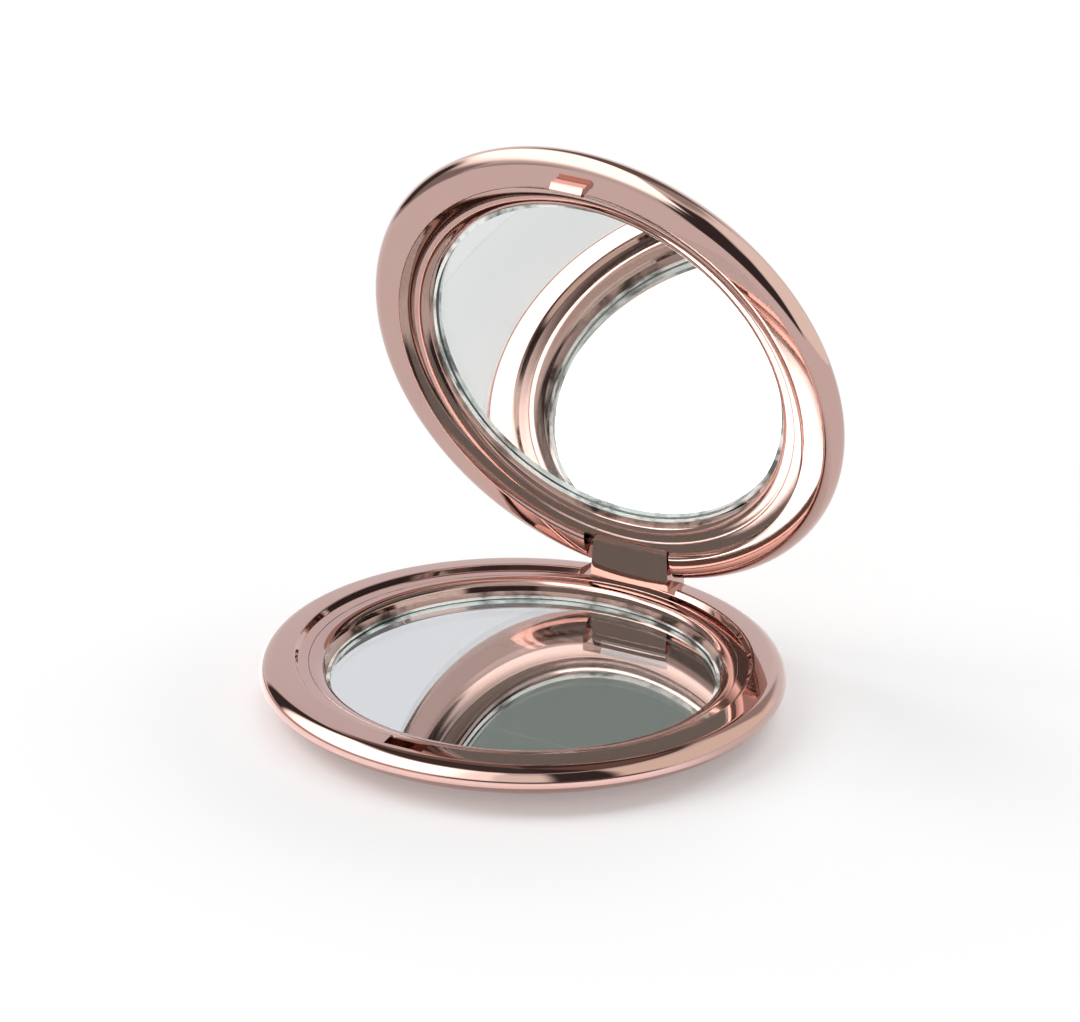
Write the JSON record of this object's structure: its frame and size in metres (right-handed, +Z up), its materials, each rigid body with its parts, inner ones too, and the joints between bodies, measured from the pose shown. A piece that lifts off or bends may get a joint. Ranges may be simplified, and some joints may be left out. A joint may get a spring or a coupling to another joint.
{
  "type": "compact mirror",
  "caption": "Round folding compact mirror with plated rims, a mirror in each half, a block hinge and a snap latch.",
  "frame": {"origin": "centre of the base's flat resting face, on the table", "axes": "+Z up through the base, +Y towards the hinge at the back, -Y towards the latch, X along the hinge pin"},
  "size_m": [0.062, 0.062, 0.0656],
  "materials": {
    "case_plating": "polished rose-gold plating over moulded plastic",
    "ring_plating": "polished rose-gold plating over moulded plastic",
    "mirror_glass": "back-silvered glass with a ground edge",
    "adhesive_pad": "white double-sided foam tape",
    "pin_steel": "drawn steel wire"
  },
  "bodies": {
    "base": {"base_cover": "case_plating", "base_bezel": "ring_plating", "base_mirror": "mirror_glass", "base_tape": "adhesive_pad"},
    "lid": {"lid_cover": "case_plating", "lid_bezel": "ring_plating", "lid_mirror": "mirror_glass", "lid_tape": "adhesive_pad", "hinge_pin": "pin_steel"}
  },
  "joints": [
    {"name": "lid_hinge", "type": "hinge", "parent": "base", "child": "lid", "pos_m": [0, 0.0286, 0.0087], "axis": [-1, 0, 0], "range_deg": [-73.2, 40]}
  ]
}
